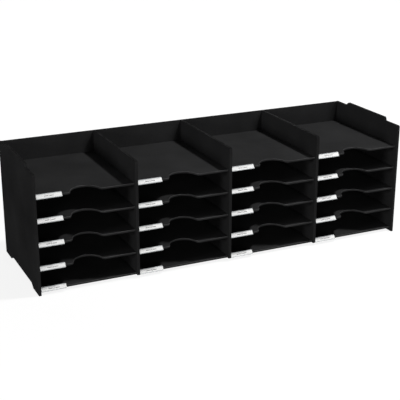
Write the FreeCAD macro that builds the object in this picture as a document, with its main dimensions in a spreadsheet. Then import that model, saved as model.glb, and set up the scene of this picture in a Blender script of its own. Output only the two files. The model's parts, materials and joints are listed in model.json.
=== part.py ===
import FreeCAD, Part
import math
import os
import types
import Sketcher

# Stackable pigeonhole sorter of the 24 x 32 cm size, in millimetres.
# X runs along the front from left to right, Y from front to back and Z up.
# The origin lies on the floor, under the middle of the sorter.

COLUMNS = 4
LEVELS = 5

SIZES = {
    # outer size
    "unit_width": 1112.0,
    "panel_depth": 338.0,
    "panel_height": 333.0,
    # walls
    "side_thick": 7.0,
    "divider_thick": 8.0,
    "divider_foot": 8.5,
    "back_thick": 4.0,
    "back_inset": 2.0,
    "corner_radius": 5.0,
    "edge_break": 0.8,
    # shelves and bases, with levels measured to their top faces
    "shelf_thick": 3.0,
    "base_level": 14.0,
    "first_level": 74.0,
    "level_pitch": 65.5,
    "front_setback": 8.0,
    "lip_height": 5.5,
    "lip_depth": 3.0,
    "notch_radius": 40.0,
    "shoulder_radius": 12.0,
    # seats of the shelf ends, the back panel and the dividers
    "seat_depth": 2.0,
    "seat_inset": 10.0,
    "dado_depth": 1.0,
    "fit_gap": 0.2,
    # stacking tongue on the outer panels and the notch that takes it
    "stack_height": 10.0,
    "stack_front": 67.5,
    "stack_front_slope": 4.0,
    "stack_rear": 58.0,
    "stack_rear_slope": 12.0,
    "stack_round": 2.0,
    "stack_lead": 11.0,
    "stack_gap": 0.7,
    # label card and its clip-on holder
    "label_tilt": 40.0,
    "label_drop": 1.5,
    "card_length": 68.0,
    "card_height": 12.0,
    "card_thick": 0.5,
    "card_gap": 0.15,
    "card_pull": 1.0,
    "holder_wall": 0.8,
    "holder_cover": 1.6,
    "holder_leg": 4.0,
    "holder_hook": 1.4,
    "holder_gap": 0.1,
    "holder_inset": 0.5,
}

SLACK = 1e-4


class Size:
    """A size known both as a number and as an expression of the sheet's cells."""

    def __init__(self, number, text=None):
        self.number = number
        self.text = text or str(number)

    def _joined(self, other, sign, number):
        return Size(number, f"({self.text} {sign} {other.text})")

    def __add__(self, other):
        return self._joined(other, "+", self.number + other.number)

    def __sub__(self, other):
        return self._joined(other, "-", self.number - other.number)

    def __mul__(self, count):
        return self._joined(Size(count), "*", self.number * count)

    def __truediv__(self, count):
        return self._joined(Size(count), "/", self.number / count)

    def __neg__(self):
        return Size(-self.number, f"(-{self.text})")


doc = FreeCAD.newDocument("MailSorter")
sheet = doc.addObject("Spreadsheet::Sheet", "Sizes")
for row, (alias, number) in enumerate(SIZES.items(), start=1):
    sheet.set(f"A{row}", alias)
    sheet.set(f"B{row}", str(number))
    sheet.setAlias(f"B{row}", alias)
doc.recompute()

# Sizes by name, and the places that several pieces share.
size = types.SimpleNamespace(**{alias: Size(n, f"Sizes.{alias}") for alias, n in SIZES.items()})
ZERO = Size(0.0)
FRONT = -size.panel_depth / 2
REAR = size.panel_depth / 2
SHELF_FRONT = FRONT + size.front_setback
SEAT_FRONT = SHELF_FRONT + size.seat_inset
BACK_OUTER = REAR - size.back_inset
BACK_INNER = BACK_OUTER - size.back_thick
SHELF_REAR = BACK_INNER - size.fit_gap
DIVIDERS_WIDE = size.divider_thick * (COLUMNS - 1)
COLUMN = (size.unit_width - size.side_thick * 2 - DIVIDERS_WIDE) / COLUMNS
PLATE_HALF = COLUMN / 2 - size.fit_gap
SEAT_HALF = PLATE_HALF + size.seat_depth


def column_left(column):
    """Inner left face of a column, counted from 0 at the left."""
    first = size.side_thick - size.unit_width / 2
    return first + (COLUMN + size.divider_thick) * column


def level_top(level):
    """Top face of a base (level 0) or of the shelf at a level."""
    if level == 0:
        return size.base_level
    return size.first_level + size.level_pitch * (level - 1)


def new_body(label):
    body = doc.addObject("PartDesign::Body", label)
    body.Label = label
    return body


def place(body, across, depth, height):
    """Binds the place of a body's own origin in the sorter."""
    for axis, distance in zip("xyz", (across, depth, height)):
        body.setExpression(f"Placement.Base.{axis}", distance.text)


def new_sketch(body, name, role, offset=ZERO):
    """Sketch on one of the body's origin planes, moved along the plane's normal."""
    plane = next(item for item in body.Origin.OriginFeatures if item.Role == role)
    sketch = body.newObject("Sketcher::SketchObject", name)
    sketch.AttachmentSupport = [(plane, "")]
    sketch.MapMode = "FlatFace"
    sketch.setExpression("AttachmentOffset.Base.z", offset.text)
    return sketch


def bind(sketch, kind, where, distance):
    """Dimension of a sketch, bound to the sheet."""
    index = sketch.addConstraint(Sketcher.Constraint(kind, *where, distance.number))
    sketch.setExpression(f"Constraints[{index}]", distance.text)


def pin_point(sketch, edge, end, point):
    """Holds an end or the centre of an edge at a point measured from the sketch's origin."""
    across, up = point
    bind(sketch, "DistanceX", (-1, 1, edge, end), across)
    bind(sketch, "DistanceY", (-1, 1, edge, end), up)


def vector(point):
    return FreeCAD.Vector(point[0].number, point[1].number, 0)


def outline(sketch, corners):
    """Closed outline of straight edges through corners, each a pair of sizes."""
    first = sketch.GeometryCount
    ends = corners[1:] + corners[:1]
    for start, end in zip(corners, ends):
        sketch.addGeometry(Part.LineSegment(vector(start), vector(end)))
    for i, corner in enumerate(corners):
        before = first + (i - 1) % len(corners)
        sketch.addConstraint(Sketcher.Constraint("Coincident", before, 2, first + i, 1))
        pin_point(sketch, first + i, 1, corner)


def rectangle(sketch, low, high):
    """Rectangle between two opposite corners, each a pair of sizes."""
    outline(sketch, [low, (high[0], low[1]), high, (low[0], high[1])])


def extrude(body, kind, sketch, length, reverse=False):
    """Pad or pocket of a sketch; one that leaves the volume as it was is an error."""
    before = body.Tip.Shape.Volume if body.Tip else 0.0
    feature = body.newObject(f"PartDesign::{kind}", f"{sketch.Name}_{kind.lower()}")
    feature.Profile = sketch
    feature.setExpression("Length", length.text)
    feature.Reversed = reverse
    sketch.recompute()
    feature.recompute()
    gain = feature.Shape.Volume - before
    if gain * (-1 if kind == "Pocket" else 1) < SLACK:
        raise RuntimeError(f"{feature.Name} of {body.Label} changes nothing")
    return feature


def dress_edges(body, kind, distance, wanted):
    """Fillet or chamfer of the body's edges for which wanted(edge) is true, and of edges tangent to them."""
    base = body.Tip
    names = [f"Edge{i}" for i, edge in enumerate(base.Shape.Edges, start=1) if wanted(edge)]
    if not names:
        raise RuntimeError(f"{kind} of {body.Label} finds no edge")
    feature = body.newObject(f"PartDesign::{kind}", f"{body.Name}_{kind.lower()}")
    feature.Base = (base, names)
    feature.setExpression("Radius" if kind == "Fillet" else "Size", distance.text)
    feature.recompute()
    return feature


def lies_at(edge, axis, distance):
    """True where the ends and the middle of an edge all have one coordinate at a distance."""
    middle = edge.valueAt((edge.FirstParameter + edge.LastParameter) / 2)
    points = [vertex.Point for vertex in edge.Vertexes] + [middle]
    return all(abs(point[axis] - distance.number) < SLACK for point in points)


def cut_shelf_grooves(body, name, face, reverse):
    """Stopped grooves in one face of an upright panel, one for each shelf or base end."""
    sketch = new_sketch(body, name, "YZ_Plane", face)
    for level in range(LEVELS):
        top = level_top(level)
        low = (SEAT_FRONT - size.fit_gap, top - size.shelf_thick)
        rectangle(sketch, low, (BACK_INNER, top + size.fit_gap))
    extrude(body, "Pocket", sketch, size.seat_depth, reverse)


def soften_panel(body, thickness):
    """Rounds the front top corner of an upright panel, then breaks the rims of its front and top edges."""

    def at_front_corner(edge):
        return lies_at(edge, 1, FRONT) and lies_at(edge, 2, size.panel_height)

    def on_front_rim(edge):
        return lies_at(edge, 1, FRONT) and (lies_at(edge, 0, ZERO) or lies_at(edge, 0, thickness))

    dress_edges(body, "Fillet", size.corner_radius, at_front_corner)
    dress_edges(body, "Chamfer", size.edge_break, on_front_rim)


def side_panel(label, across, inner_face, inner_reverse):
    """Outer panel: a sheet with the stacking tongue on its top edge and the notch in its foot.

    The notch takes the tongue with a gap all round, and its front end opens out further as a lead-in.
    """
    body = new_body(label)
    top = size.panel_height
    tongue_top = top + size.stack_height
    tongue_front = FRONT + size.stack_front
    tongue_nose = tongue_front + size.stack_front_slope
    tongue_rear = REAR - size.stack_rear
    tongue_tail = tongue_rear - size.stack_rear_slope
    notch_roof = size.stack_height + size.stack_gap
    sketch = new_sketch(body, f"{label}_outline", "YZ_Plane")
    outline(
        sketch,
        [
            (FRONT, ZERO),
            (tongue_front - size.stack_gap - size.stack_lead, ZERO),
            (tongue_nose - size.stack_gap, notch_roof),
            (tongue_tail + size.stack_gap, notch_roof),
            (tongue_rear + size.stack_gap, ZERO),
            (REAR, ZERO),
            (REAR, top),
            (tongue_rear, top),
            (tongue_tail, tongue_top),
            (tongue_nose, tongue_top),
            (tongue_front, top),
            (FRONT, top),
        ],
    )
    extrude(body, "Pad", sketch, size.side_thick)

    def at_tongue_corner(edge):
        ends = (tongue_nose, tongue_tail)
        return lies_at(edge, 2, tongue_top) and any(lies_at(edge, 1, end) for end in ends)

    dress_edges(body, "Fillet", size.stack_round, at_tongue_corner)
    cut_shelf_grooves(body, f"{label}_grooves", inner_face, inner_reverse)
    slot = new_sketch(body, f"{label}_back_slot", "YZ_Plane", inner_face)
    slot_foot = size.divider_foot - size.fit_gap
    rectangle(slot, (BACK_INNER, slot_foot), (BACK_OUTER + size.fit_gap, top))
    extrude(body, "Pocket", slot, size.seat_depth, inner_reverse)
    soften_panel(body, size.side_thick)
    place(body, across, ZERO, ZERO)
    return body


def divider(label, column):
    """Sheet between two columns, grooved on both faces, its rear edge standing in the back panel."""
    body = new_body(label)
    sketch = new_sketch(body, f"{label}_outline", "YZ_Plane")
    rear = BACK_INNER + size.dado_depth - size.fit_gap
    rectangle(sketch, (FRONT, size.divider_foot), (rear, size.panel_height))
    extrude(body, "Pad", sketch, size.divider_thick)
    cut_shelf_grooves(body, f"{label}_left_grooves", ZERO, True)
    cut_shelf_grooves(body, f"{label}_right_grooves", size.divider_thick, False)
    soften_panel(body, size.divider_thick)
    place(body, column_left(column) - size.divider_thick, ZERO, ZERO)
    return body


def back_panel(label):
    """Sheet across the whole width, with an upright dado for each divider in its front face."""
    body = new_body(label)
    half = size.unit_width / 2 - size.side_thick + size.seat_depth - size.fit_gap
    sketch = new_sketch(body, f"{label}_outline", "XZ_Plane", -BACK_OUTER)
    rectangle(sketch, (-half, size.divider_foot), (half, size.panel_height))
    extrude(body, "Pad", sketch, size.back_thick)
    dados = new_sketch(body, f"{label}_dados", "XZ_Plane", -BACK_INNER)
    for column in range(1, COLUMNS):
        right = column_left(column) + size.fit_gap
        left = column_left(column) - size.divider_thick - size.fit_gap
        rectangle(dados, (left, size.divider_foot), (right, size.panel_height))
    extrude(body, "Pocket", dados, size.dado_depth)
    return body


def plate_corners(front):
    """Outline of a shelf from its front right corner round the back; the seats stand out at the ends."""
    return [
        (PLATE_HALF, front),
        (PLATE_HALF, SEAT_FRONT),
        (SEAT_HALF, SEAT_FRONT),
        (SEAT_HALF, SHELF_REAR),
        (-SEAT_HALF, SHELF_REAR),
        (-SEAT_HALF, SEAT_FRONT),
        (-PLATE_HALF, SEAT_FRONT),
        (-PLATE_HALF, front),
    ]


def notched_outline(sketch, inward):
    """Shelf outline whose front edge turns over a shoulder into the half-round notch and out again.

    An outline that stands inward of the shelf's own runs on arcs round the same centres.
    """
    front = SHELF_FRONT + inward
    notch = size.notch_radius + inward
    shoulder = size.shoulder_radius - inward
    rise = size.shoulder_radius.number
    span = math.sqrt((notch.number + shoulder.number) ** 2 - rise**2)
    lean = math.atan2(rise, span)
    centre_y = SHELF_FRONT.number + rise

    def arc(x, y, radius, start, end):
        circle = Part.Circle(FreeCAD.Vector(x, y, 0), FreeCAD.Vector(0, 0, 1), radius.number)
        return sketch.addGeometry(Part.ArcOfCircle(circle, start, end))

    left = arc(-span, centre_y, shoulder, -math.pi / 2, -lean)
    scoop = arc(0.0, SHELF_FRONT.number, notch, lean, math.pi - lean)
    right = arc(span, centre_y, shoulder, math.pi + lean, 3 * math.pi / 2)
    corners = plate_corners(front)
    points = [vector(corner) for corner in corners]
    points.insert(0, FreeCAD.Vector(span, front.number, 0))
    points.append(FreeCAD.Vector(-span, front.number, 0))
    edges = [
        sketch.addGeometry(Part.LineSegment(start, end)) for start, end in zip(points, points[1:])
    ]
    for i, corner in enumerate(corners):
        sketch.addConstraint(Sketcher.Constraint("Coincident", edges[i], 2, edges[i + 1], 1))
        pin_point(sketch, edges[i], 2, corner)
    pin_point(sketch, scoop, 3, (ZERO, SHELF_FRONT))
    bind(sketch, "Radius", (scoop,), notch)
    bind(sketch, "Radius", (left,), shoulder)
    bind(sketch, "Radius", (right,), shoulder)
    sketch.addConstraint(Sketcher.Constraint("Horizontal", edges[0]))
    sketch.addConstraint(Sketcher.Constraint("Horizontal", edges[-1]))
    sketch.addConstraint(Sketcher.Constraint("Tangent", edges[-1], 2, left, 1))
    sketch.addConstraint(Sketcher.Constraint("Tangent", left, 2, scoop, 2))
    sketch.addConstraint(Sketcher.Constraint("Tangent", scoop, 1, right, 1))
    sketch.addConstraint(Sketcher.Constraint("Tangent", right, 2, edges[0], 1))


def tray(label, column, level, notched):
    """Shelf or base: a plate with end seats and a front lip that follows the finger notch.

    Its own origin lies on its top face, in the middle of the column.
    """
    body = new_body(label)
    plan = new_sketch(body, f"{label}_plan", "XY_Plane", -size.lip_height)
    hollow = new_sketch(body, f"{label}_hollow", "XY_Plane", -size.lip_height)
    if notched:
        notched_outline(plan, ZERO)
        notched_outline(hollow, size.lip_depth)
    else:
        outline(plan, plate_corners(SHELF_FRONT))
        outline(hollow, plate_corners(SHELF_FRONT + size.lip_depth))
    extrude(body, "Pad", plan, size.lip_height)
    extrude(body, "Pocket", hollow, size.lip_height - size.shelf_thick, True)

    def on_lip(edge):
        return lies_at(edge, 2, ZERO) and lies_at(edge, 1, SHELF_FRONT)

    dress_edges(body, "Chamfer", size.edge_break, on_lip)
    place(body, column_left(column) + COLUMN / 2, ZERO, level_top(level))
    return body


# The label leans back: in its own axes x points into the sorter and y up the card,
# from the front corner of the clip's jaw.
JAW_OUT = size.holder_gap + size.holder_wall
CARD_HALF = size.card_height / 2
CHANNEL_HALF = CARD_HALF + size.card_gap
CHANNEL_ROOM = size.card_thick + size.card_gap * 2
CARD_LEFT = size.holder_wall + size.card_gap
HOLDER_LENGTH = CARD_LEFT + size.card_length - size.card_pull


def leaning_sketch(body, name):
    """Sketch on the label's own axes."""
    sketch = new_sketch(body, name, "YZ_Plane")
    sketch.setExpression("AttachmentOffset.Base.x", (-JAW_OUT).text)
    sketch.setExpression("AttachmentOffset.Base.y", JAW_OUT.text)
    sketch.setExpression("AttachmentOffset.Rotation.Angle", (-size.label_tilt).text)
    return sketch


def label_holder(label, column, level):
    """Clear clip: a jaw that hooks round the lip and a leaning channel with a stop at its left end.

    Its own origin lies on the top front corner of the lip, at the holder's left end.
    """
    body = new_body(label)
    wall = size.holder_wall
    gap = size.holder_gap
    under = -size.lip_height - gap
    behind = size.lip_depth + gap
    hook_top = under + size.holder_hook
    jaw = new_sketch(body, f"{label}_jaw", "YZ_Plane")
    outline(
        jaw,
        [
            (size.holder_leg, gap),
            (size.holder_leg, JAW_OUT),
            (-JAW_OUT, JAW_OUT),
            (-JAW_OUT, under - wall),
            (behind + wall, under - wall),
            (behind + wall, hook_top),
            (behind, hook_top),
            (behind, under),
            (-gap, under),
            (-gap, gap),
        ],
    )
    extrude(body, "Pad", jaw, HOLDER_LENGTH)
    low = -CHANNEL_HALF - size.label_drop
    high = CHANNEL_HALF - size.label_drop
    bottom = low - wall
    top = high + wall
    inside = -CHANNEL_ROOM
    outside = inside - wall
    channel = leaning_sketch(body, f"{label}_channel")
    outline(
        channel,
        [
            (wall, bottom),
            (wall, top),
            (outside, top),
            (outside, high - size.holder_cover),
            (inside, high - size.holder_cover),
            (inside, high),
            (ZERO, high),
            (ZERO, low),
            (inside, low),
            (inside, low + size.holder_cover),
            (outside, low + size.holder_cover),
            (outside, bottom),
        ],
    )
    extrude(body, "Pad", channel, HOLDER_LENGTH)
    stop = leaning_sketch(body, f"{label}_stop")
    rectangle(stop, (outside, bottom), (wall, top))
    extrude(body, "Pad", stop, wall)
    place(body, column_left(column) + size.holder_inset, SHELF_FRONT, level_top(level))
    return body


def label_card(label, column, level):
    """Card that stands in its holder's channel, against the left stop."""
    body = new_body(label)
    section = leaning_sketch(body, f"{label}_section")
    front = -size.card_gap - size.card_thick
    rectangle(section, (front, -CARD_HALF - size.label_drop), (-size.card_gap, CARD_HALF - size.label_drop))
    extrude(body, "Pad", section, size.card_length)
    left = column_left(column) + size.holder_inset + CARD_LEFT
    place(body, left, SHELF_FRONT, level_top(level))
    return body


nodes = [
    side_panel("side_panel_left", -size.unit_width / 2, size.side_thick, False),
    side_panel("side_panel_right", size.unit_width / 2 - size.side_thick, ZERO, True),
    back_panel("back_panel"),
]
for column in range(1, COLUMNS):
    nodes.append(divider(f"divider_{column}", column))

for column in range(COLUMNS):
    name = f"column{column + 1}"
    nodes.append(tray(f"base_{name}", column, 0, False))
    for level in range(1, LEVELS):
        nodes.append(tray(f"shelf_{name}_level{level + 1}", column, level, True))
    holders = []
    for level in range(LEVELS):
        nodes.append(label_card(f"label_card_{name}_level{level + 1}", column, level))
        holders.append(label_holder(f"label_holder_{name}_level{level + 1}", column, level))
    group = doc.addObject("Part::Compound", f"label_holders_{name}")
    group.Label = f"label_holders_{name}"
    group.Links = holders
    nodes.append(group)

doc.recompute()
for item in doc.Objects:
    if "Invalid" in item.State or "Error" in item.State:
        raise RuntimeError(f"{item.Label} failed: {item.State}")
for node in nodes:
    if node.Shape.isNull() or not node.Shape.isValid():
        raise RuntimeError(f"{node.Label} has no valid shape")

os.makedirs("parts", exist_ok=True)
for node in nodes:
    node.Shape.exportStep(f"parts/{node.Label}.step")
    box = node.Shape.BoundBox
    extent = f"{box.XLength:.1f} x {box.YLength:.1f} x {box.ZLength:.1f}"
    print(f"{node.Label}: {len(node.Shape.Solids)} solid(s), {extent}")
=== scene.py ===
# %% [markdown]
# # A desk sorter of black plastic, dressed in Blender
# The sorter is a black box of four columns with shelves, and every shelf has a label card in a clear
# holder on its front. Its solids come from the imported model, which stays fixed. This lesson gives each of
# them a finish made of shader nodes, makes the shelves again with rounded lips, prints a number on each
# card, and sets up a plain white studio with the camera where the photograph was taken from.

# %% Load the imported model
import json
import math

import bpy
import numpy as np
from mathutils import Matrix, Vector

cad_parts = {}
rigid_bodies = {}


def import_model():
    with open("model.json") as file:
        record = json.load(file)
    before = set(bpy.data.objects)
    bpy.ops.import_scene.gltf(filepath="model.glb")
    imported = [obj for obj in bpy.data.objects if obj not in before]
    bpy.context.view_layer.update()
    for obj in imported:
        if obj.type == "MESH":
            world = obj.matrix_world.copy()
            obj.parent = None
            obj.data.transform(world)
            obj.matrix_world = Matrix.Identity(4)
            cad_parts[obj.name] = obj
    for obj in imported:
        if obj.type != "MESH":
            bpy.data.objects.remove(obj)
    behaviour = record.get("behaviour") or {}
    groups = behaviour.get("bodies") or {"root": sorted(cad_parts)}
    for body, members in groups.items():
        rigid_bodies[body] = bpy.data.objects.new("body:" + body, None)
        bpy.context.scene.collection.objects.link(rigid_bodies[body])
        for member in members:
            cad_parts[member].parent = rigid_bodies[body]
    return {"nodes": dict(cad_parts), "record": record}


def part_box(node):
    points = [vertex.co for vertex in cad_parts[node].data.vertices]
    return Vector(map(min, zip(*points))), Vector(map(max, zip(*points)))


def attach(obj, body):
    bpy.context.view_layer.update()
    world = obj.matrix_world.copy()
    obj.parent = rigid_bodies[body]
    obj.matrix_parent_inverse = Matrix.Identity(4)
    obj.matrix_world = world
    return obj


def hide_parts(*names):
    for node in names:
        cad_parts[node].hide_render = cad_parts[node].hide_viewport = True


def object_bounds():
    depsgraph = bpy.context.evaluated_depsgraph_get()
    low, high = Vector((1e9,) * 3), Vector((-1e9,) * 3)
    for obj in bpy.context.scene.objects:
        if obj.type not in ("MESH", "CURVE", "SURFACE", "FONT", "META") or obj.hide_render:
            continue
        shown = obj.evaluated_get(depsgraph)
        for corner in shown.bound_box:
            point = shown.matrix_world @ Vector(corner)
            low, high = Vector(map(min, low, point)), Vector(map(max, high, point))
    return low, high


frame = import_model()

cad_low, cad_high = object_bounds()
nodes = frame["nodes"]

# %% [markdown]
# ## Which node is made of what
# Three materials meet on the sorter: black plastic, clear plastic and white card. The finishes could be
# handed out by a long list of names. The record gives every node a material slot, and going by slot is
# shorter and misses none.

# %% Nodes by slot
by_slot = {}
for part in frame["record"]["subparts"]:
    by_slot.setdefault(part["material_slot"], []).append(part["node"])
for slot_name, members in by_slot.items():
    print(f"{slot_name}: {len(members)} nodes")

# %% [markdown]
# ## Small helpers for node trees
# A material is a tree of nodes, which is usually joined by hand in the Shader Editor. Here it is written
# down, so that the same tree can be made again with other values. Five helpers keep that short: one
# joins an output to an input, one adds a node and fills in its sockets, and three add the nodes that are
# used most, for a step of arithmetic, a change of range and noise. A value that is another node's socket
# becomes a link, and a plain number or colour is simply set.

# %% Node helpers
def feed(tree, socket, value):
    """Links an output socket to an input, or sets the input to a plain value."""
    if isinstance(value, bpy.types.NodeSocket):
        tree.links.new(value, socket)
    else:
        socket.default_value = value


def add(tree, kind, settings=None, **sockets):
    """Adds a node; settings are its properties, and sockets its inputs by name, with _ for a space."""
    node = tree.nodes.new(kind)
    for key, value in (settings or {}).items():
        setattr(node, key, value)
    for key, value in sockets.items():
        feed(tree, node.inputs[key.replace("_", " ")], value)
    return node


def math_node(tree, operation, first, second):
    """One step of arithmetic on two numbers or sockets; gives the result's socket."""
    node = tree.nodes.new("ShaderNodeMath")
    node.operation = operation
    feed(tree, node.inputs[0], first)
    feed(tree, node.inputs[1], second)
    return node.outputs[0]


def ranged(tree, value, **limits):
    """Takes a value from one range to another, each 0 to 1 unless limits say otherwise."""
    return add(tree, "ShaderNodeMapRange", Value=value, **limits).outputs["Result"]


def noise(tree, where, scale, detail):
    """Noise with so many lumps to a metre; gives the socket of its value."""
    return add(tree, "ShaderNodeTexNoise", Vector=where, Scale=scale, Detail=detail).outputs["Fac"]


print("node helpers: feed, add, math_node, ranged, noise")

# %% [markdown]
# ## Grain of a moulded surface
# Moulds for office trays are spark-eroded, which leaves a fine even grain in the plastic, and the melt
# that flowed into them leaves slow clouds of more and less shine. The grain could be modelled, but that
# would take millions of faces. One noise at grain size and one at the size of a hand give both at no cost
# in faces, and as a node group they serve the black and the clear plastic alike.

# %% Group: moulded grain
FLOAT = "NodeSocketFloat"
VECTOR = "NodeSocketVector"
GRAIN_DETAIL = 2.0
CLOUD_DETAIL = 3.0


def new_group(name, inputs, outputs):
    """An empty shader group; inputs are (name, kind, start value) and outputs (name, kind)."""
    group = bpy.data.node_groups.new(name, "ShaderNodeTree")
    for label, kind, start in inputs:
        socket = group.interface.new_socket(label, in_out="INPUT", socket_type=kind)
        if start is not None:
            socket.default_value = start
    for label, kind in outputs:
        group.interface.new_socket(label, in_out="OUTPUT", socket_type=kind)
    return group, group.nodes.new("NodeGroupInput"), group.nodes.new("NodeGroupOutput")


def moulded_grain():
    """Height is fine noise of the given size in metres; Cloud is slow noise of the given size."""
    group, given, result = new_group(
        "moulded_grain",
        [("Vector", VECTOR, None), ("Grain Size", FLOAT, 0.0008), ("Cloud Size", FLOAT, 0.12)],
        [("Height", FLOAT), ("Cloud", FLOAT)],
    )
    for label, size_name, detail in (
        ("Height", "Grain Size", GRAIN_DETAIL),
        ("Cloud", "Cloud Size", CLOUD_DETAIL),
    ):
        scale = math_node(group, "DIVIDE", 1.0, given.outputs[size_name])
        value = noise(group, given.outputs["Vector"], scale, detail)
        group.links.new(value, result.inputs[label])
    return group


GRAIN = moulded_grain()
print(f"group {GRAIN.name}: {len(GRAIN.nodes)} nodes")

# %% [markdown]
# ## Wear and a painted highlight along the edges
# Hands wear the edges of a sorter first, so its black turns a little grey and smoother there, and the same
# grey also paints a thin highlight along each edge. Wear could be painted along every edge by hand. The
# Bevel node finds the edges by itself, because it bends the normal near an edge: where that bent normal
# leaves the true one, an edge is near. A noise breaks the line up so that no edge shows it evenly. No hand
# reaches the edges inside a groove or a corner, so the Ambient Occlusion node keeps the mark to the open
# ones.

# %% Group: edge wear
BEVEL_SAMPLES = 6
EDGE_SPAN = {"From_Min": 0.98, "From_Max": 0.75}
AIR_SAMPLES = 8
AIR_REACH = 0.006
AIR_SPAN = {"From_Min": 0.7, "From_Max": 0.95}
PATCH_DETAIL = 4.0
PATCH_SPAN = {"From_Min": 0.35, "From_Max": 0.65, "To_Min": 0.4}


def edge_wear():
    """Wear is 1 on an edge and 0 on a flat; Width is its reach in metres, and Patch the noise alone."""
    group, given, result = new_group(
        "edge_wear",
        [("Vector", VECTOR, None), ("Width", FLOAT, 0.0012), ("Patch Size", FLOAT, 0.03)],
        [("Wear", FLOAT), ("Patch", FLOAT)],
    )
    bent = add(group, "ShaderNodeBevel", {"samples": BEVEL_SAMPLES}, Radius=given.outputs["Width"])
    flat = add(group, "ShaderNodeNewGeometry")
    likeness = add(group, "ShaderNodeVectorMath", {"operation": "DOT_PRODUCT"})
    group.links.new(bent.outputs["Normal"], likeness.inputs[0])
    group.links.new(flat.outputs["True Normal"], likeness.inputs[1])
    edge = ranged(group, likeness.outputs["Value"], **EDGE_SPAN)
    air = add(group, "ShaderNodeAmbientOcclusion", {"samples": AIR_SAMPLES}, Distance=AIR_REACH)
    reached = math_node(group, "MULTIPLY", edge, ranged(group, air.outputs["AO"], **AIR_SPAN))
    scale = math_node(group, "DIVIDE", 1.0, given.outputs["Patch Size"])
    kept = ranged(group, noise(group, given.outputs["Vector"], scale, PATCH_DETAIL), **PATCH_SPAN)
    group.links.new(math_node(group, "MULTIPLY", reached, kept), result.inputs["Wear"])
    group.links.new(kept, result.inputs["Patch"])
    return group


WEAR = edge_wear()
print(f"group {WEAR.name}: {len(WEAR.nodes)} nodes")

# %% [markdown]
# ## How each finish starts
# Plastic, card and ink differ in colour, shine and relief, and one Principled shader has sockets for all
# three. Its patterns could follow a UV map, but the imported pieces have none, so they read Object
# coordinates, which stay with a piece when it moves. The relief could be modelled too. A Bump node is
# enough for a fraction of a millimetre. Colours are blended by a Mix node, which has a set of sockets for
# each kind of value under the same names, so those of its colours are picked by number.

# %% Material helpers
MIX_SHARE = 0
MIX_FIRST = 6
MIX_SECOND = 7
MIX_RESULT = 2


def new_material(name):
    """A material with a Principled shader, its output and its object coordinates."""
    material = bpy.data.materials.new(name)
    material.use_nodes = True
    tree = material.node_tree
    tree.nodes.clear()
    shader = add(tree, "ShaderNodeBsdfPrincipled")
    output = add(tree, "ShaderNodeOutputMaterial")
    tree.links.new(shader.outputs["BSDF"], output.inputs["Surface"])
    coordinates = add(tree, "ShaderNodeTexCoord")
    return material, tree, shader, coordinates.outputs["Object"]


def place_group(tree, group, **sockets):
    """Puts a group into a material and fills in its sockets."""
    return add(tree, "ShaderNodeGroup", {"node_tree": group}, **sockets)


def blend_colours(tree, share, first, second):
    """Goes from the first colour to the second as share goes from 0 to 1; gives the colour's socket."""
    node = tree.nodes.new("ShaderNodeMix")
    node.data_type = "RGBA"
    feed(tree, node.inputs[MIX_SHARE], share)
    feed(tree, node.inputs[MIX_FIRST], first)
    feed(tree, node.inputs[MIX_SECOND], second)
    return node.outputs[MIX_RESULT]


def lift_relief(tree, shader, height, strength, distance):
    """Lets a height show as relief; distance is its depth in metres."""
    bump = add(tree, "ShaderNodeBump", Height=height, Strength=strength, Distance=distance)
    feed(tree, shader.inputs["Normal"], bump.outputs["Normal"])


print("material helpers: new_material, place_group, blend_colours, lift_relief")

# %% [markdown]
# ## The black plastic
# Black plastic sends back only two or three percent of the light, nearly the same to all sides. Its satin
# grain shows as a fine mottle, and the melt's clouds as slow changes of tone and roughness. One flat black
# would be quicker, but it would look like paint. Three places carry painted light and shade. The shelves
# get lighter tones than the panels, painted light for the lamps that fall on them from above. The panels'
# faces that point up, such as their top edges, get a deeper black, a painted shade. On the shelves' rounded
# lips a grey paints a thin highlight, under a clear coat that gives the rounding a real shine, and along
# the panels' edges the same grey marks wear and a painted highlight. Where a surface faces tells these
# places apart: a normal that points up has a rise of 1, and one that points sideways a rise of 0.

# %% Tones of the black
PANEL_TONES = ((0.012, 0.012, 0.0123, 1.0), (0.028, 0.028, 0.0286, 1.0))
# The shelves get lighter tones than the panels: painted light, for the lamps that fall on them from above.
SHELF_PAINTED_LIGHT_TONES = ((0.0178, 0.0178, 0.0181, 1.0), (0.0398, 0.0398, 0.0405, 1.0))
# A deeper black: painted shade on the panels' faces that point up.
PAINTED_SHADE_BLACK = (0.008, 0.008, 0.0082, 1.0)
# Grey that paints a highlight on the shelves' lips, and marks wear with a painted highlight on panel edges.
WEAR_AND_HIGHLIGHT_GREY = (0.25, 0.25, 0.253, 1.0)
# Share of grey on the panels' edges: wear with a painted highlight.
PANEL_WEAR_AND_HIGHLIGHT = 0.03
# Share of grey on the shelves' lips, a painted highlight.
SHELF_PAINTED_HIGHLIGHT = 0.45
print(f"panel tones {PANEL_TONES[0][0]} to {PANEL_TONES[1][0]}")
print(f"shelf tones {SHELF_PAINTED_LIGHT_TONES[0][0]} to {SHELF_PAINTED_LIGHT_TONES[1][0]}")

# %% Where the black gets painted highlight and painted shade
# Rises of the normal between which the lip's rounding gets its painted highlight.
LIP_HIGHLIGHT_BEGINS = (0.05, 0.25)
LIP_HIGHLIGHT_ENDS = (0.8, 0.5)
# Rises of the normal from which a panel's upward faces get the painted shade.
TOP_SHADE_BEGINS = (0.2, 0.7)


def rise_between(tree, start, end):
    """Goes from 0 to 1 as the rise of the normal goes from start to end."""
    normal = add(tree, "ShaderNodeTexCoord").outputs["Normal"]
    rise = add(tree, "ShaderNodeSeparateXYZ", Vector=normal).outputs["Z"]
    return ranged(tree, rise, From_Min=start, From_Max=end)


print(f"a lip is worn from a rise of {LIP_HIGHLIGHT_BEGINS[0]} to {LIP_HIGHLIGHT_ENDS[0]}, a top edge from {TOP_SHADE_BEGINS[0]}")

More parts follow.
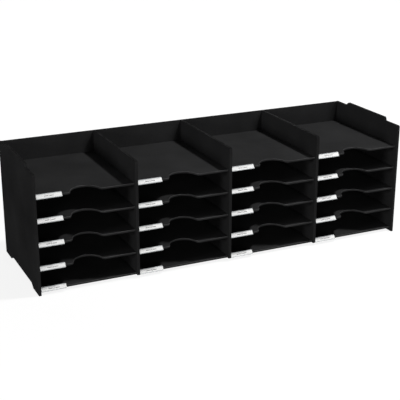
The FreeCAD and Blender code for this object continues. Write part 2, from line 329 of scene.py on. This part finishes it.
# %% Finish: black plastic
BLACK_GRAIN = {"Grain_Size": 0.0013, "Cloud_Size": 0.14}
BLACK_WEAR_AND_HIGHLIGHT = {"Width": 0.002, "Patch_Size": 0.025}
GRAIN_SHARE = 0.6
CLOUD_SHARE = 0.4
NOISE_SPAN = {"From_Min": 0.3, "From_Max": 0.7}
BLACK_ROUGHNESS = {"To_Min": 0.88, "To_Max": 0.74}
RUB_SMOOTHS = 0.1
BLACK_RELIEF = (0.3, 0.0003)
RUB_COAT_ROUGHNESS = 0.3
BLACK_SPECULAR = 0.002


def satin_black(name, tones, wear_and_highlight_share, has_lip):
    """Black moulded plastic, mottled between two tones.

    With a lip, grey at the given share paints a highlight on its rounding. Without one, the grey marks
    the edges with wear and a painted highlight, and painted shade deepens the faces that point up.
    """
    material, tree, shader, where = new_material(name)
    grain = place_group(tree, GRAIN, Vector=where, **BLACK_GRAIN)
    wear = place_group(tree, WEAR, Vector=where, **BLACK_WEAR_AND_HIGHLIGHT)
    cloud = grain.outputs["Cloud"]
    fine = math_node(tree, "MULTIPLY", grain.outputs["Height"], GRAIN_SHARE)
    mottle = math_node(tree, "ADD", fine, math_node(tree, "MULTIPLY", cloud, CLOUD_SHARE))
    moulded = blend_colours(tree, ranged(tree, mottle, **NOISE_SPAN), *tones)
    if has_lip:
        # On a lip, the grey is a painted highlight on the rounding.
        lip = math_node(tree, "MULTIPLY", rise_between(tree, *LIP_HIGHLIGHT_BEGINS), rise_between(tree, *LIP_HIGHLIGHT_ENDS))
        wear_and_highlight_mask = math_node(tree, "MULTIPLY", lip, wear.outputs["Patch"])
    else:
        # On a panel, painted shade deepens the black on faces that point up, and the grey marks the edges
        # with wear and a painted highlight.
        top = math_node(tree, "MULTIPLY", rise_between(tree, *TOP_SHADE_BEGINS), wear.outputs["Patch"])
        moulded = blend_colours(tree, top, moulded, PAINTED_SHADE_BLACK)
        wear_and_highlight_mask = wear.outputs["Wear"]
    # The grey share: painted highlight on a lip, wear with painted highlight on a panel's edges.
    wear_and_highlight = math_node(tree, "MULTIPLY", wear_and_highlight_mask, wear_and_highlight_share)
    feed(tree, shader.inputs["Base Color"], blend_colours(tree, wear_and_highlight, moulded, WEAR_AND_HIGHLIGHT_GREY))
    rough = ranged(tree, cloud, **NOISE_SPAN, **BLACK_ROUGHNESS)
    smoother = math_node(tree, "MULTIPLY", wear_and_highlight, RUB_SMOOTHS)
    feed(tree, shader.inputs["Roughness"], math_node(tree, "SUBTRACT", rough, smoother))
    lift_relief(tree, shader, grain.outputs["Height"], *BLACK_RELIEF)
    feed(tree, shader.inputs["Coat Weight"], wear_and_highlight)
    shader.inputs["Coat Roughness"].default_value = RUB_COAT_ROUGHNESS
    shader.inputs["Specular IOR Level"].default_value = BLACK_SPECULAR
    return material


PANEL_BLACK = satin_black("satin_black_panel", PANEL_TONES, PANEL_WEAR_AND_HIGHLIGHT, False)
print(f"{PANEL_BLACK.name}: {len(PANEL_BLACK.node_tree.nodes)} nodes")

# %% [markdown]
# ## The clear label holders
# The holders are small clips of clear plastic. They could be glass that bends the light, but through so
# thin a wall that would only add noise. So the holder is a pale glossy plastic that lets most of what lies
# behind it show, with faint scuffs in its shine from cards being pushed in and out.

# %% Finish: clear plastic
CLIP_TINTS = ((0.72, 0.75, 0.77, 1.0), (0.9, 0.92, 0.93, 1.0))
CLIP_GRAIN = {"Grain_Size": 0.0025, "Cloud_Size": 0.01}
CLIP_ROUGHNESS = {"To_Min": 0.08, "To_Max": 0.3}
CLIP_RELIEF = (0.08, 0.0002)
CLIP_ALPHA = 0.35


def clear_clip():
    """Pale see-through plastic with scuffed shine."""
    material, tree, shader, where = new_material("clear_clip_plastic")
    grain = place_group(tree, GRAIN, Vector=where, **CLIP_GRAIN)
    cloud = grain.outputs["Cloud"]
    feed(tree, shader.inputs["Base Color"], blend_colours(tree, cloud, *CLIP_TINTS))
    feed(tree, shader.inputs["Roughness"], ranged(tree, cloud, **CLIP_ROUGHNESS))
    lift_relief(tree, shader, grain.outputs["Height"], *CLIP_RELIEF)
    shader.inputs["Alpha"].default_value = CLIP_ALPHA
    return material


CLEAR_CLIP = clear_clip()
print(f"{CLEAR_CLIP.name}: {len(CLEAR_CLIP.node_tree.nodes)} nodes")

# %% [markdown]
# ## The label cards
# The cards are cut from smooth white card, which close up is a felt of fibres. A picture of fibres could
# be laid on each card, but it would blur from near by. Stretched noise stays sharp: it tints the white by
# a few percent and lifts the surface by hundredths of a millimetre.

# %% Finish: white card
CARD_TINTS = ((0.88, 0.88, 0.87, 1.0), (0.96, 0.96, 0.955, 1.0))
FIBRE_STRETCH = (0.3, 1.0, 1.0)
FIBRES_PER_METRE = 2200.0
FIBRE_DETAIL = 4.0
CARD_ROUGHNESS = {"To_Min": 0.72, "To_Max": 0.9}
CARD_RELIEF = (0.2, 0.00005)


def white_card():
    """White card with a felt of fibres that run mostly along the sheet."""
    material, tree, shader, where = new_material("white_label_card")
    along = add(tree, "ShaderNodeMapping", Vector=where, Scale=FIBRE_STRETCH)
    felt = noise(tree, along.outputs["Vector"], FIBRES_PER_METRE, FIBRE_DETAIL)
    feed(tree, shader.inputs["Base Color"], blend_colours(tree, felt, *CARD_TINTS))
    feed(tree, shader.inputs["Roughness"], ranged(tree, felt, **CARD_ROUGHNESS))
    lift_relief(tree, shader, felt, *CARD_RELIEF)
    return material


WHITE_CARD = white_card()
print(f"{WHITE_CARD.name}: {len(WHITE_CARD.node_tree.nodes)} nodes")

# %% [markdown]
# ## Hand the finishes out
# The panels, dividers, holders and cards already have the right shape, so they could be left alone or made
# again. They keep their meshes, because those are the real sizes, and only the material in their slot
# changes.

# %% Dress the nodes
FINISHES = {"black_plastic": PANEL_BLACK, "clear_plastic": CLEAR_CLIP, "label_card": WHITE_CARD}
for slot_name, members in by_slot.items():
    for node_name in members:
        materials = nodes[node_name].data.materials
        materials.clear()
        materials.append(FINISHES[slot_name])
    print(f"{slot_name}: {FINISHES[slot_name].name} on {len(members)} nodes")

# %% [markdown]
# ## Shelves with a rounded lip
# Each shelf ends in front in a lip that turns down and follows the finger notch. The mould rounds all
# the edges of such a lip, and light runs along them as a fine line, which is what sets one black shelf
# off from the next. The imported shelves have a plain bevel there. A Bevel modifier could round it only
# after a weld, because their faces are split along every edge. So each shelf is made again as one
# surface: the lip's section is carried along the line of the front edge, and the plate closes it behind.
# First comes that line, which is straight on the bases and dips into the notch on the shelves.

# %% Front line of a shelf
NOTCH_RADIUS = 0.040
SHOULDER_RADIUS = 0.012
NOTCH_STEPS = 56
SHOULDER_STEPS = 14


def arc(centre, radius, start, end, steps):
    """Points of an arc: its centre plus its radius times the cosine and the sine of each angle."""
    angle = np.linspace(start, end, steps + 1)
    return np.array(centre) + radius * np.stack([np.cos(angle), np.sin(angle)], axis=1)


def front_line(half, notched):
    """Points of the front edge from left to right, and at each the direction into the shelf.

    The edge runs from minus half to half at y = 0. The notch is an arc round the middle, and at each
    side an arc round a point behind the edge, the shoulder, leads into it. The shelf lies outside the
    notch's circle and inside the shoulders', so the direction is the radius out of one or into the other.
    """
    ends = np.array([[-half, 0.0], [half, 0.0]])
    straight = np.array([[0.0, 1.0], [0.0, 1.0]])
    if not notched:
        return ends, straight
    span = math.sqrt((NOTCH_RADIUS + SHOULDER_RADIUS) ** 2 - SHOULDER_RADIUS**2)
    lean = math.atan2(SHOULDER_RADIUS, span)
    centre = np.array([-span, SHOULDER_RADIUS])
    shoulder = arc(centre, SHOULDER_RADIUS, -math.pi / 2, -lean, SHOULDER_STEPS)
    scoop = arc((0.0, 0.0), NOTCH_RADIUS, math.pi - lean, lean, NOTCH_STEPS)[1:-1]
    mirror = np.array([-1.0, 1.0])
    line = np.concatenate([ends[:1], shoulder, scoop, shoulder[::-1] * mirror, ends[1:]])
    turn = (centre - shoulder) / SHOULDER_RADIUS
    inward = np.concatenate([straight[:1], turn, scoop / NOTCH_RADIUS, turn[::-1] * mirror, straight[1:]])
    return line, inward


TRIAL_HALF = 0.13
print(f"notched front line: {len(front_line(TRIAL_HALF, True)[0])} points")

# %% [markdown]
# ## The section of the lip
# Cut across, the lip is a small hook: the plate's top turns over a rounded front edge, runs down, and
# comes back under a rounded heel to the plate's underside. A square hook with a Subdivision Surface would
# be round too, but its radii would be hard to set. Quarter arcs give each corner a radius of its own.

# %% Section of the lip
LIP_DEPTH = 0.003
LIP_REACH = 0.005
PLATE_THICK = 0.003
EDGE_ROUND = 0.0009
HEEL_ROUND = 0.0006
ROOT_ROUND = 0.0008
ROUND_STEPS = 6


def lip_section(height):
    """The lip from the plate's top over the front edge and back to the plate's underside.

    The first column is the way into the shelf and the second the height, which is 0 on the top face.
    Quarter arcs round both front edges and the heel, and one turned the other way fills the root.
    """
    quarter = math.pi / 2
    root_centre = (LIP_DEPTH + ROOT_ROUND, -PLATE_THICK - ROOT_ROUND)
    heel_centre = (LIP_DEPTH - HEEL_ROUND, HEEL_ROUND - height)
    return np.concatenate(
        [
            [[LIP_REACH, 0.0]],
            arc((EDGE_ROUND, -EDGE_ROUND), EDGE_ROUND, quarter, 2 * quarter, ROUND_STEPS),
            arc((EDGE_ROUND, EDGE_ROUND - height), EDGE_ROUND, 2 * quarter, 3 * quarter, ROUND_STEPS),
            arc(heel_centre, HEEL_ROUND, -quarter, 0.0, ROUND_STEPS),
            arc(root_centre, ROOT_ROUND, 2 * quarter, quarter, ROUND_STEPS),
            [[LIP_REACH, -PLATE_THICK]],
        ]
    )


TRIAL_HEIGHT = 0.0055
print(f"section of the lip: {len(lip_section(TRIAL_HEIGHT))} points")

# %% [markdown]
# ## The shelf as one closed surface
# A real shelf is one moulding, so lip, plate and end seats belong to one closed surface. It could be put
# together from boxes with Booleans, which can leave ragged faces along a notch. Here a ring of points goes
# once round the shelf in section: over the lip, back under the plate, up the rear edge and forward over
# the top. One such ring stands at every point of the front line, and quads join each ring to the next. The
# plate's ends reach a little further into the grooves of the panels, so at either end four points of the
# ring go on as a seat, and flat faces close what is left open.

# %% Surface of a shelf
SEAT_DEPTH = 0.002
SEAT_SETBACK = 0.010
SEAT_POINTS = 4


def shelf_surface(low, high, notched):
    """Vertices and faces of a shelf that fills the box between two corners.

    A point of the lip is a point of the front line plus its inward direction times the section's first
    column, at the height in the second. The points behind stand straight back from the end of the lip.
    """
    deep = high.y - low.y
    seat_half = (high.x - low.x) / 2
    line, inward = front_line(seat_half - SEAT_DEPTH, notched)
    section = lip_section(high.z - low.z)
    lip = line[:, None] + inward[:, None] * section[None, :, :1]
    start = lip[:, -1:] + (0.0, SEAT_SETBACK - LIP_REACH)
    rear = start * (1.0, 0.0) + (0.0, deep)
    plan = np.concatenate([lip, start, rear, rear, start], axis=1)
    level = np.concatenate([section[:, 1], [-PLATE_THICK, -PLATE_THICK, 0.0, 0.0]])
    rings = np.dstack([plan, np.broadcast_to(level, plan.shape[:2])])

    seats = rings[[0, -1], -SEAT_POINTS:].copy()
    seats[:, :, 0] = [[-seat_half], [seat_half]]
    points = np.concatenate([rings.reshape(-1, 3), seats.reshape(-1, 3)])
    points += ((low.x + high.x) / 2, low.y, high.z)

    index = np.arange(rings.shape[0] * rings.shape[1]).reshape(rings.shape[:2])
    left, right = (index.size + np.arange(2 * SEAT_POINTS)).reshape(2, SEAT_POINTS)
    joins = [(left, index[0, -SEAT_POINTS:]), (index[-1, -SEAT_POINTS:], right)]
    joins += [(index[:-1], index[1:])]
    walls = [
        np.stack([first, np.roll(first, -1, -1), np.roll(second, -1, -1), second], axis=-1).reshape(-1, 4)
        for first, second in joins
    ]
    lip_end = np.delete(index, [-3, -2], axis=1)
    caps = [lip_end[0, ::-1], lip_end[-1], left[::-1], right]
    return points, np.concatenate(walls).tolist() + [cap.tolist() for cap in caps]


trial_points, trial_faces = shelf_surface(*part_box("shelf_column1_level2"), True)
print(f"a notched shelf: {len(trial_points)} points, {len(trial_faces)} faces")

# %% [markdown]
# ## Sixteen shelves and four bases
# All shelves of the sorter are alike, and one mesh could be set up sixteen times. Each keeps its place in
# its own mesh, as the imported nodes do, so the surface is worked out once for the box of each node that it
# replaces. Smooth shading lets the light run round the lip, while corners of more than 40 degrees stay
# sharp.

# %% Make the shelves
SMOOTH_UNDER = math.radians(40.0)


def new_piece(name, points, faces, material, body):
    """A mesh piece at the origin, which rides on a body and takes its finish from a slot."""
    mesh = bpy.data.meshes.new(name)
    mesh.from_pydata(points.tolist(), [], faces)
    mesh.materials.append(material)
    piece = bpy.data.objects.new(name, mesh)
    bpy.context.scene.collection.objects.link(piece)
    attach(piece, body)
    return piece


# The shelves' finish has the lighter tones and the lip's painted highlight.
SHELF_BLACK = satin_black("satin_black_shelf", SHELF_PAINTED_LIGHT_TONES, SHELF_PAINTED_HIGHLIGHT, True)
trays = [node_name for node_name in by_slot["black_plastic"] if node_name.startswith(("shelf_", "base_"))]
for node_name in trays:
    points, faces = shelf_surface(*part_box(node_name), node_name.startswith("shelf_"))
    piece = new_piece(f"moulded_{node_name}", points, faces, SHELF_BLACK, "sorter")
    piece.data.shade_smooth()
    piece.data.set_sharp_from_angle(angle=SMOOTH_UNDER)
    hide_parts(node_name)
print(f"{len(trays)} shelves and bases, the last of {len(faces)} faces")

# %% [markdown]
# ## Ink
# The print on the cards is a dark grey ink that covers the card unevenly. A flat black would do from afar,
# but close up it would look cut out, so a fine noise varies its tone and its shine.

# %% Finish: ink
INK_TINTS = ((0.02, 0.02, 0.024, 1.0), (0.07, 0.07, 0.075, 1.0))
INK_SPECKS_PER_METRE = 3500.0
INK_DETAIL = 3.0
INK_ROUGHNESS = {"To_Min": 0.5, "To_Max": 0.75}


def printed_ink():
    """Dark grey print that covers the card unevenly."""
    material, tree, shader, where = new_material("printed_ink")
    cover = noise(tree, where, INK_SPECKS_PER_METRE, INK_DETAIL)
    feed(tree, shader.inputs["Base Color"], blend_colours(tree, cover, *INK_TINTS))
    feed(tree, shader.inputs["Roughness"], ranged(tree, cover, **INK_ROUGHNESS))
    return material


INK = printed_ink()
print(f"{INK.name}: {len(INK.node_tree.nodes)} nodes")

# %% [markdown]
# ## A number for each card
# Each card carries a plain number between two ruled lines, counted along the rows from the top left. The
# number could be a mask in the card's material, but digits are tedious to draw with nodes. A text object
# has them ready. It becomes a mesh while it still lies flat at the origin, and is thin as ink.

# %% Flat numbers
DIGIT_HEIGHT = 0.0048
CAPITAL_SHARE = 0.7
INK_THICK = 0.00004
CURVE_STEPS = 4


def mesh_points(mesh):
    """All vertices of a mesh as one array with a row for each."""
    points = np.empty(len(mesh.vertices) * 3)
    mesh.vertices.foreach_get("co", points)
    return points.reshape(-1, 3)


def flat_number(text):
    """Vertices and faces of a number that lies flat, centred on the origin and INK_THICK thick."""
    curve = bpy.data.curves.new("number", "FONT")
    curve.body = text
    curve.size = DIGIT_HEIGHT / CAPITAL_SHARE
    curve.extrude = INK_THICK / 2
    curve.resolution_u = CURVE_STEPS
    holder = bpy.data.objects.new("number", curve)
    bpy.context.scene.collection.objects.link(holder)
    shaped = holder.evaluated_get(bpy.context.evaluated_depsgraph_get())
    mesh = bpy.data.meshes.new_from_object(shaped)
    points = mesh_points(mesh)
    points -= (points.min(axis=0) + points.max(axis=0)) / 2
    faces = [tuple(face.vertices) for face in mesh.polygons]
    for data, group in ((holder, bpy.data.objects), (curve, bpy.data.curves), (mesh, bpy.data.meshes)):
        group.remove(data)
    return points, faces


print(f"digits {DIGIT_HEIGHT * 1000:.1f} mm high")

# %% [markdown]
# ## The ruled lines
# A short printed bar stands at either side of the number. It could be a scaled cube, but then its place
# would be in the object and not in the mesh. Its eight corners are simply every pairing of its two ends,
# two sides and two faces.

# %% Ruled lines
RULE_LENGTH = 0.011
RULE_HEIGHT = 0.0015
RULE_GAP = 0.0015
BOX_FACES = [(0, 1, 3, 2), (4, 6, 7, 5), (0, 4, 5, 1), (2, 3, 7, 6), (0, 2, 6, 4), (1, 5, 7, 3)]


def ruled_line(left):
    """A flat bar that starts at left.

    Its eight corners pair each end of its length with each end of its height and of its thickness.
    """
    up, out = RULE_HEIGHT / 2, INK_THICK / 2
    ends = [(left, left + RULE_LENGTH), (-up, up), (-out, out)]
    return np.stack(np.meshgrid(*ends, indexing="ij"), axis=-1).reshape(-1, 3), BOX_FACES


def joined(parts):
    """One list of points and one of faces from several, with each face's numbers moved on."""
    starts = np.cumsum([0] + [len(points) for points, _ in parts])
    faces = [
        [start + corner for corner in face] for (_, part), start in zip(parts, starts) for face in part
    ]
    return np.concatenate([points for points, _ in parts]), faces


def card_print(text):
    """A number with a ruled line at either side."""
    number = flat_number(text)
    reach = number[0][:, 0].max() + RULE_GAP
    return joined([number, ruled_line(reach), ruled_line(-reach - RULE_LENGTH)])


print(f"ruled lines of {RULE_LENGTH * 1000:.1f} by {RULE_HEIGHT * 1000:.1f} mm")

# %% [markdown]
# ## Onto the cards
# The cards lean back in their holders, so the print has to lean with them. An object could be turned and
# moved, but a finished piece sits unturned at the origin. So the flat coordinates themselves are carried
# onto the card's front face: x runs along the card, y up its slope and z out of its face. Each number then
# rides with its card when the card is pulled out.

# %% Carry the numbers onto the cards
def card_face(node_name):
    """Middle of a card's front face, and its axes along the card, up its slope and out of it."""
    mesh = nodes[node_name].data
    front = max(mesh.polygons, key=lambda face: face.area * (face.normal.y < 0))
    out = np.array(front.normal)
    along = np.array([1.0, 0.0, 0.0])
    up = np.cross(out, along)
    points = mesh_points(mesh)
    centre = (points.min(axis=0) + points.max(axis=0)) / 2
    lift = np.max((points - centre) @ out)
    return centre + out * lift, np.stack([along, up, out])


def number_piece(node_name, body, text):
    """A printed number on the face of one card.

    A point is the middle of the face plus the face's axes times the flat x, y and z.
    """
    face_middle, axes = card_face(node_name)
    flat, faces = card_print(text)
    flat[:, 2] += INK_THICK / 2
    return new_piece(f"number_{text}", face_middle + flat @ axes, faces, INK, body)


COLUMNS = 4
LEVELS = 5
for level in range(LEVELS, 0, -1):
    for column in range(1, COLUMNS + 1):
        count = (LEVELS - level) * COLUMNS + column
        ending = f"card_column{column}_level{level}"
        number_piece(f"label_{ending}", ending, str(count))
print(f"{COLUMNS * LEVELS} numbers on their cards")

# %% [markdown]
# ## The floor
# The photograph is a cut-out on white. A white floor with strong lamps would be white too, but it would
# also light the sorter from below. So a wide grey floor stands in for it: where the camera looks at the
# floor directly, light of its own lifts it to white, and the sorter's soft shadow stays. The lamps reach
# less of the floor further out, so the lift grows with the distance.

# %% Floor
WHITE = (1.0, 1.0, 1.0, 1.0)
FLOOR_SIZE = 40.0
FLOOR_DROP = 0.0002
FLOOR_GREYS = ((0.2, 0.2, 0.2, 1.0), (0.21, 0.21, 0.21, 1.0))
FLOOR_CLOUDS_PER_METRE = 1.5
FLOOR_DETAIL = 2.0
FLOOR_ROUGHNESS = 0.9
LIFT_SPAN = {"From_Min": 0.6, "From_Max": 2.2, "To_Min": 0.87, "To_Max": 0.96}


def eye_rays(tree):
    """1 for what the camera sees, straight or by way of shine or clear plastic, and 0 for light."""
    ray = add(tree, "ShaderNodeLightPath")
    seen = math_node(tree, "MAXIMUM", ray.outputs["Is Camera Ray"], ray.outputs["Is Glossy Ray"])
    return math_node(tree, "MAXIMUM", seen, ray.outputs["Is Transmission Ray"])


def pale_floor():
    """Matte grey floor with a trace of unevenness, and a lift to white that only the camera sees."""
    material, tree, shader, where = new_material("pale_studio_floor")
    cloud = noise(tree, where, FLOOR_CLOUDS_PER_METRE, FLOOR_DETAIL)
    feed(tree, shader.inputs["Base Color"], blend_colours(tree, cloud, *FLOOR_GREYS))
    shader.inputs["Roughness"].default_value = FLOOR_ROUGHNESS
    shader.inputs["Specular IOR Level"].default_value = 0.0
    reach = add(tree, "ShaderNodeVectorMath", {"operation": "LENGTH"}, Vector=where).outputs["Value"]
    shader.inputs["Emission Color"].default_value = WHITE
    seen = math_node(tree, "MULTIPLY", eye_rays(tree), ranged(tree, reach, **LIFT_SPAN))
    feed(tree, shader.inputs["Emission Strength"], seen)
    return material


half = FLOOR_SIZE / 2
floor_mesh = bpy.data.meshes.new("floor")
corners = [(-half, -half, 0), (half, -half, 0), (half, half, 0), (-half, half, 0)]
floor_mesh.from_pydata(corners, [], [(0, 1, 2, 3)])
floor_mesh.materials.append(pale_floor())
floor = bpy.data.objects.new("floor", floor_mesh)
floor.location.z = cad_low.z - FLOOR_DROP
bpy.context.scene.collection.objects.link(floor)
print(f"floor of {FLOOR_SIZE:.0f} m at z = {floor.location.z:.4f}")

# %% [markdown]
# ## The world
# Around a cut-out there is nothing but white. A white world would flood the sorter with light from all
# sides and wash out its black, so the world is white only to the eye and in reflections, and dim as a
# source of light.

# %% World
WORLD_LIGHT = 0.07
world = bpy.data.worlds.new("studio")
bpy.context.scene.world = world
world.use_nodes = True
sky = world.node_tree
sky.nodes.clear()
strength = ranged(sky, eye_rays(sky), To_Min=WORLD_LIGHT, To_Max=1.0)
background = add(sky, "ShaderNodeBackground", Color=WHITE, Strength=strength)
screen = add(sky, "ShaderNodeOutputWorld")
sky.links.new(background.outputs["Background"], screen.inputs["Surface"])
print(f"world {world.name}: 1.0 to the eye, {WORLD_LIGHT} as light")

# %% [markdown]
# ## The lamps
# Three soft lamps round the sorter would do for any product. The shadows in the photograph tell more
# closely where its lamps stood. Dark bands on the top shelves, left of each divider, come from a small lamp
# high up at the right, and the bands narrow to the right because the lamp is near. It stands in front of
# the shelves too, because the labels are equally bright in every row. A slanting shadow on the back panel
# comes from a low lamp in front. Two weaker lamps at the left brighten the faces that are turned away from
# those, and a low one behind at the right lights the back and the right side, which the photograph doesn't
# show.

# %% Lamps
middle = (cad_low + cad_high) / 2


def studio_lamp(name, kind, offset, power, **settings):
    """A lamp at an offset from the sorter's middle, turned towards it; a SUN shines from afar."""
    data = bpy.data.lights.new(name, kind)
    data.energy = power
    for key, value in settings.items():
        setattr(data, key, value)
    lamp = bpy.data.objects.new(name, data)
    lamp.location = middle + Vector(offset)
    lamp.rotation_mode = "QUATERNION"
    lamp.rotation_quaternion = (middle - lamp.location).to_track_quat("-Z", "Y")
    bpy.context.scene.collection.objects.link(lamp)
    print(f"{name}: {kind} of {power} at {offset}")


studio_lamp("top_lamp", "AREA", (1.07, -0.50, 2.70), 57.0, shape="DISK", size=0.32)
studio_lamp("front_lamp", "SUN", (0.19, -2.5, 0.26), 1.0, angle=math.radians(6.0))
studio_lamp("side_lamp", "SUN", (-2.5, -0.5, 0.48), 0.9, angle=math.radians(9.0))
studio_lamp("fill_lamp", "SUN", (-1.8, -1.8, 0.25), 0.52, angle=math.radians(20.0))
studio_lamp("rear_lamp", "SUN", (1.5, 2.2, 0.16), 1.7, angle=math.radians(20.0))

# %% [markdown]
# ## The camera
# The photograph was taken from the left of the sorter and from above it. A camera can be set by eye until
# the picture looks right. This one's place, turn and lens were worked out from the corners of the sorter in
# the photograph, which is quicker to repeat and closer.

# %% Camera
EYE = Vector((-1.155, -2.453, 1.091))
TURN = math.radians(24.92)
DIP = math.radians(19.53)
LENS_MM = 88.2
SENSOR_MM = 36.0

camera_data = bpy.data.cameras.new("camera")
camera_data.lens = LENS_MM
camera_data.sensor_width = SENSOR_MM
camera = bpy.data.objects.new("camera", camera_data)
camera.location = EYE
look = Vector((math.sin(TURN) * math.cos(DIP), math.cos(TURN) * math.cos(DIP), -math.sin(DIP)))
camera.rotation_mode = "QUATERNION"
camera.rotation_quaternion = look.to_track_quat("-Z", "Y")
bpy.context.scene.collection.objects.link(camera)
bpy.context.scene.camera = camera
bpy.context.scene.view_settings.view_transform = "Standard"
print(f"camera {(middle - EYE).length:.2f} m from the sorter's middle, lens {LENS_MM} mm")
